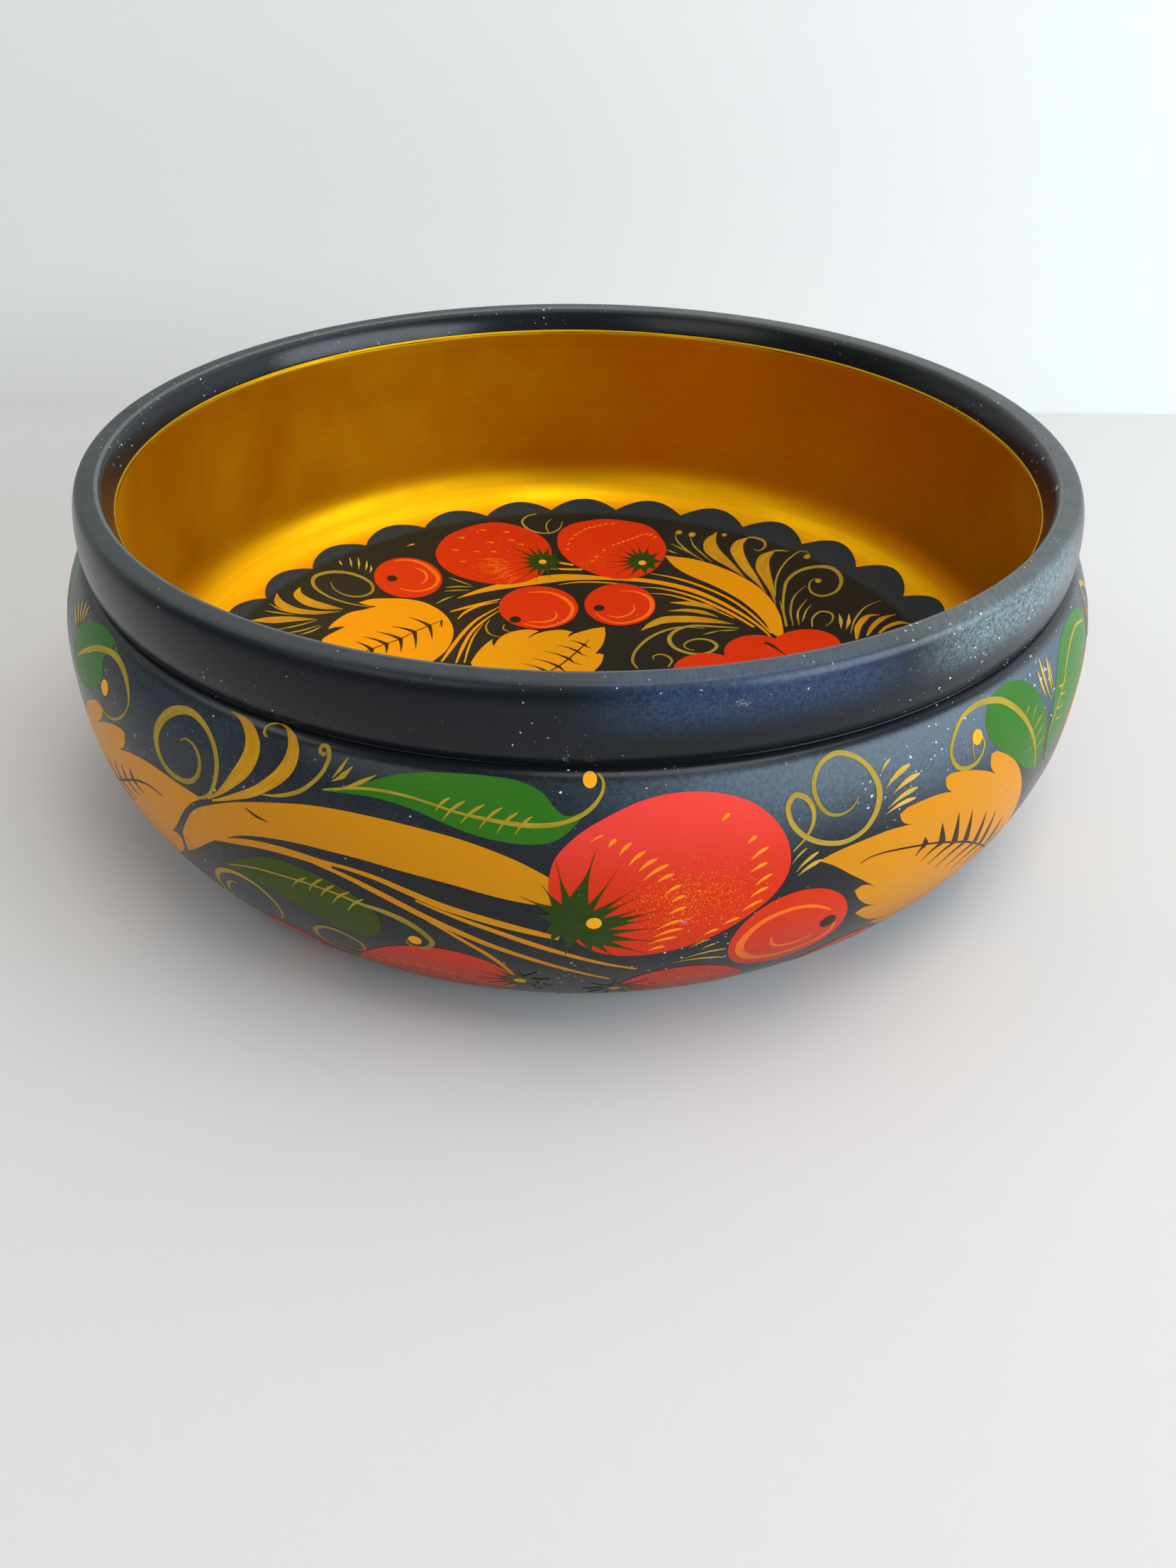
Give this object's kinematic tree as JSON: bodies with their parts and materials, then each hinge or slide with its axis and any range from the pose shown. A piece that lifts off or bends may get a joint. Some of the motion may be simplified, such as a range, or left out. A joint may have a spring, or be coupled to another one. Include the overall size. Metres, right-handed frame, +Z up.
{
  "type": "wooden bowl",
  "caption": "Wide low turned wooden bowl with a rolled rim, black lacquer outside, a gold lacquer lining and a scalloped black roundel on the floor.",
  "frame": {"origin": "middle of the foot's underside, on the surface that the bowl stands on", "axes": "+Z up along the turning axis, -Y towards the viewer of the picture, +X to the viewer's right"},
  "size_m": [0.2968, 0.2968, 0.1],
  "materials": {
    "bare_wood": "matte turned lime wood",
    "black_lacquer": "semi-gloss oil lacquer with painted berries and leaves, dust and fine scratches",
    "gold_lacquer": "metallic gold under amber lacquer with fine turning rings",
    "black_roundel": "semi-gloss black paint with a painted ornament"
  },
  "bodies": {
    "root": {"turned_bowl": "bare_wood", "outer_lacquer": "black_lacquer", "gold_lining": "gold_lacquer", "floor_medallion": "black_roundel", "base_lacquer": "black_lacquer"}
  },
  "joints": []
}
